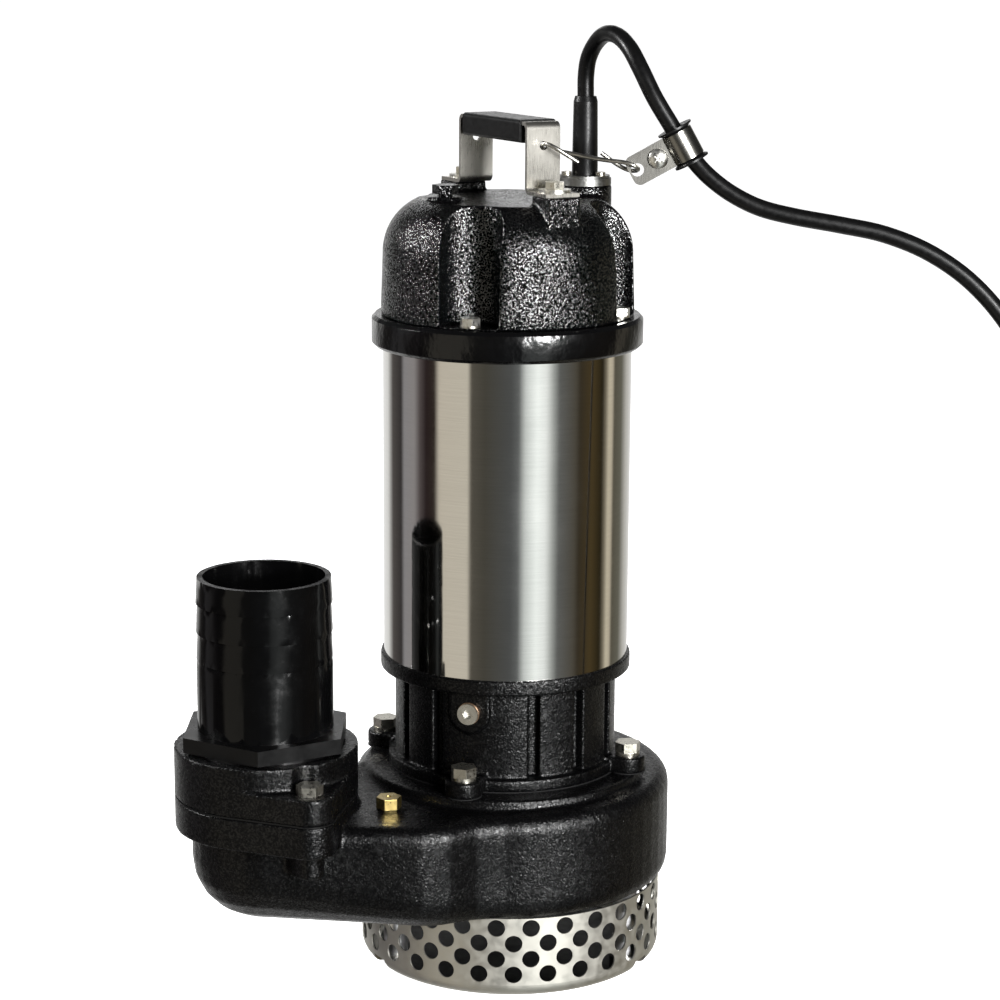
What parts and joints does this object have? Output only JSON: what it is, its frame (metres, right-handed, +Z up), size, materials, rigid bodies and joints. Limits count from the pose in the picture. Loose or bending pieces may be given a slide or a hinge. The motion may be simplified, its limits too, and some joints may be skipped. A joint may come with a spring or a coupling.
{
  "type": "submersible sump pump",
  "caption": "Submersible sump pump: cast volute with sieve foot, steel motor sleeve, domed cover with handle, upright hose coupling and a supply cable with plug.",
  "frame": {"origin": "motor axis at the plane the strainer stands on", "axes": "+Z up the motor shaft, -Y the front, -X towards the hose coupling"},
  "size_m": [0.663, 0.3159, 0.5407],
  "materials": {
    "strainer": "satin stainless sheet",
    "strainer_posts": "plain turned",
    "strainer_screws": "plain",
    "suction_cover": "black paint",
    "suction_screws": "plain",
    "volute_casing": "gloss black enamel over rough casting",
    "impeller": "dark cast",
    "impeller_nut": "plain",
    "shaft_key": "plain",
    "shaft": "ground",
    "seal_seat": "ceramic",
    "seal_face": "carbon",
    "seal_spring": "bright",
    "seal_collar": "bright",
    "lip_seal": "matt",
    "bearing_bracket": "gloss black enamel over rough casting",
    "casing_gasket": "fibre sheet",
    "bracket_bolts": "zinc plated",
    "spring_washers": "zinc plated",
    "oil_plug": "zinc plated",
    "oil_plug_washer": "copper seal",
    "lower_bearing_outer": "ground",
    "lower_bearing_inner": "ground",
    "lower_bearing_balls": "polished",
    "upper_bearing_outer": "ground",
    "upper_bearing_inner": "ground",
    "upper_bearing_balls": "polished",
    "wave_washer": "spring steel",
    "motor_sleeve": "brushed stainless tube",
    "stator_core": "laminated steel",
    "stator_winding": "varnished copper",
    "rotor_core": "laminated steel",
    "rotor_end_rings": "cast",
    "upper_bracket": "gloss black enamel",
    "motor_cover": "gloss black enamel over rough casting",
    "cover_bolts": "zinc plated",
    "cover_plug": "plain",
    "handle_strip": "satin stainless strip",
    "handle_grip": "satin",
    "handle_bolts": "zinc plated",
    "handle_washers": "zinc plated",
    "gland_plate": "dark satin",
    "gland_screws": "plain",
    "cable_boot": "satin",
    "air_vent_body": "turned",
    "air_vent_ball": "polished",
    "discharge_gasket": "matt",
    "discharge_flange": "gloss black enamel over rough casting",
    "discharge_bolts": "zinc plated",
    "hose_tail": "glossy moulded",
    "cable": "satin sheath",
    "cable_coil": "satin sheath",
    "clip_band": "bright strip",
    "clip_lining": "satin",
    "clip_screw": "zinc plated",
    "clip_nut": "zinc plated",
    "s_hook": "bent wire",
    "plug_body": "moulded",
    "plug_pins": "nickel plated brass"
  },
  "bodies": {
    "pump": {"strainer": "strainer", "strainer_posts": "strainer_posts", "strainer_screws": "strainer_screws", "suction_cover": "suction_cover", "suction_screws": "suction_screws", "volute_casing": "volute_casing", "seal_seat": "seal_seat", "lip_seal": "lip_seal", "bearing_bracket": "bearing_bracket", "casing_gasket": "casing_gasket", "bracket_bolts": "bracket_bolts", "spring_washers": "spring_washers", "oil_plug": "oil_plug", "oil_plug_washer": "oil_plug_washer", "lower_bearing_outer": "lower_bearing_outer", "upper_bearing_outer": "upper_bearing_outer", "wave_washer": "wave_washer", "motor_sleeve": "motor_sleeve", "stator_core": "stator_core", "stator_winding": "stator_winding", "upper_bracket": "upper_bracket", "motor_cover": "motor_cover", "cover_bolts": "cover_bolts", "cover_plug": "cover_plug", "handle_strip": "handle_strip", "handle_grip": "handle_grip", "handle_bolts": "handle_bolts", "handle_washers": "handle_washers", "gland_plate": "gland_plate", "gland_screws": "gland_screws", "cable_boot": "cable_boot", "air_vent_body": "air_vent_body", "discharge_gasket": "discharge_gasket", "discharge_flange": "discharge_flange", "discharge_bolts": "discharge_bolts", "hose_tail": "hose_tail", "cable": "cable", "cable_coil": "cable_coil", "clip_band": "clip_band", "clip_lining": "clip_lining", "clip_screw": "clip_screw", "clip_nut": "clip_nut", "plug_body": "plug_body", "plug_pins": "plug_pins"},
    "rotor": {"shaft": "shaft", "rotor_core": "rotor_core", "rotor_end_rings": "rotor_end_rings", "impeller": "impeller", "impeller_nut": "impeller_nut", "shaft_key": "shaft_key", "seal_face": "seal_face", "seal_spring": "seal_spring", "seal_collar": "seal_collar", "lower_bearing_inner": "lower_bearing_inner", "upper_bearing_inner": "upper_bearing_inner"},
    "lower_balls": {"lower_bearing_balls": "lower_bearing_balls"},
    "upper_balls": {"upper_bearing_balls": "upper_bearing_balls"},
    "vent_ball": {"air_vent_ball": "air_vent_ball"},
    "hook": {"s_hook": "s_hook"}
  },
  "joints": [
    {"name": "rotor_spin", "type": "hinge", "parent": "pump", "child": "rotor", "pos_m": [0, 0, 0.2], "axis": [0, 0, 1], "continuous": true},
    {"name": "lower_balls_spin", "type": "hinge", "parent": "pump", "child": "lower_balls", "pos_m": [0, 0, 0.1745], "axis": [0, 0, 1], "continuous": true},
    {"name": "upper_balls_spin", "type": "hinge", "parent": "pump", "child": "upper_balls", "pos_m": [0, 0, 0.39], "axis": [0, 0, 1], "continuous": true},
    {"name": "vent_ball_slide", "type": "slide", "parent": "pump", "child": "vent_ball", "axis": [0, 0, 1], "range_m": [0, 0.0027]},
    {"name": "hook_swing", "type": "hinge", "parent": "pump", "child": "hook", "pos_m": [0.01867, -0.03367, 0.4767], "axis": [0.4848, -0.8746, 0], "range_deg": [-2, 2]}
  ],
  "couplings": [
    {"joint": "lower_balls_spin", "follows": "rotor_spin", "ratio": 0.38506},
    {"joint": "upper_balls_spin", "follows": "rotor_spin", "ratio": 0.38358}
  ]
}
